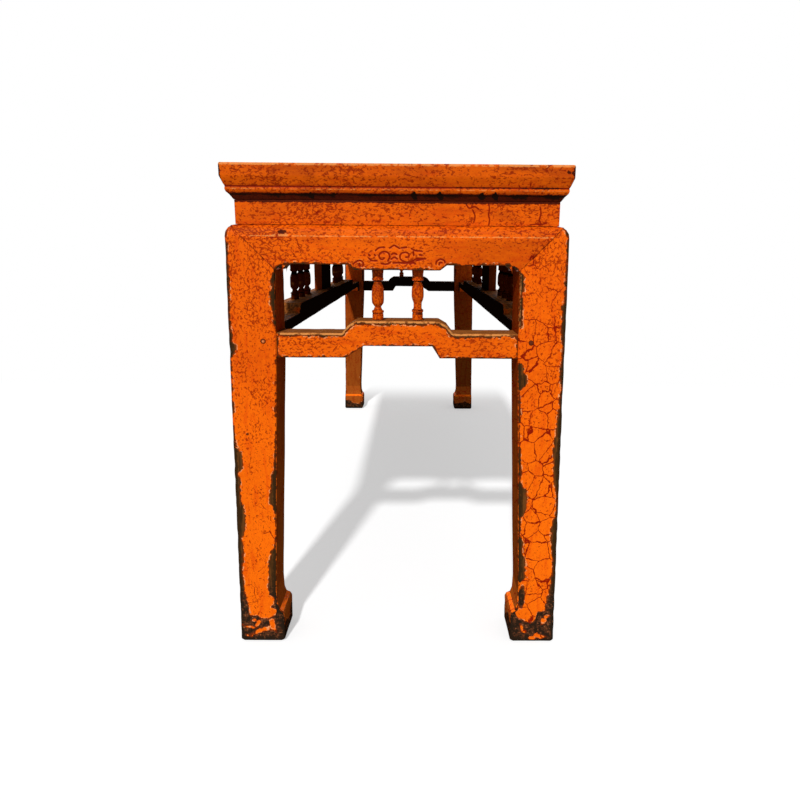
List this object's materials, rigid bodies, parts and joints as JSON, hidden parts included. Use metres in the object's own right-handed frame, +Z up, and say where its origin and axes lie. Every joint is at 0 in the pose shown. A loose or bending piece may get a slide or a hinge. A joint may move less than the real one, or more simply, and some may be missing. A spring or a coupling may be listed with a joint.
{
  "type": "lacquered bench",
  "caption": "Narrow waisted bench in worn orange lacquer, with a framed panel seat, carved aprons, hump-back stretchers with turned struts, and horse-hoof feet.",
  "frame": {"origin": "floor level, under the middle of the bench", "axes": "+Z up, +Y along the bench from the pictured end to the far end, +X to the right as pictured"},
  "size_m": [0.344, 1.133, 0.5],
  "materials": {
    "orange_lacquer": "orange lacquer with fine red-brown craquelure, satin, worn to dark wood at the arrises and feet",
    "worn_lacquer": "orange lacquer rubbed thin by use, with brown wood showing through",
    "dark_lacquer": "thin dark red-brown lacquer on the hidden faces",
    "bare_wood": "dark end grain"
  },
  "bodies": {
    "root": {"top_panel": "worn_lacquer", "panel_batten_1": "dark_lacquer", "panel_batten_2": "dark_lacquer", "panel_batten_3": "dark_lacquer", "top_end_rail_front": "orange_lacquer", "waist_front": "orange_lacquer", "apron_front": "orange_lacquer", "stretcher_front": "orange_lacquer", "strut_front_1": "orange_lacquer", "strut_front_2": "orange_lacquer", "top_end_rail_rear": "orange_lacquer", "waist_rear": "orange_lacquer", "apron_rear": "orange_lacquer", "stretcher_rear": "orange_lacquer", "strut_rear_1": "orange_lacquer", "strut_rear_2": "orange_lacquer", "top_long_rail_left": "orange_lacquer", "waist_left": "orange_lacquer", "apron_left": "orange_lacquer", "stretcher_left": "orange_lacquer", "strut_left_1": "orange_lacquer", "strut_left_2": "orange_lacquer", "strut_left_3": "orange_lacquer", "strut_left_4": "orange_lacquer", "strut_left_5": "orange_lacquer", "strut_left_6": "orange_lacquer", "centre_block_left": "dark_lacquer", "top_long_rail_right": "orange_lacquer", "waist_right": "orange_lacquer", "apron_right": "orange_lacquer", "stretcher_right": "orange_lacquer", "strut_right_1": "orange_lacquer", "strut_right_2": "orange_lacquer", "strut_right_3": "orange_lacquer", "strut_right_4": "orange_lacquer", "strut_right_5": "orange_lacquer", "strut_right_6": "orange_lacquer", "centre_block_right": "dark_lacquer", "leg_front_left": "orange_lacquer", "peg_front_left_end": "bare_wood", "peg_front_left_side": "bare_wood", "leg_front_right": "orange_lacquer", "peg_front_right_end": "bare_wood", "peg_front_right_side": "bare_wood", "leg_rear_left": "orange_lacquer", "peg_rear_left_end": "bare_wood", "peg_rear_left_side": "bare_wood", "leg_rear_right": "orange_lacquer", "peg_rear_right_end": "bare_wood", "peg_rear_right_side": "bare_wood"}
  },
  "joints": []
}
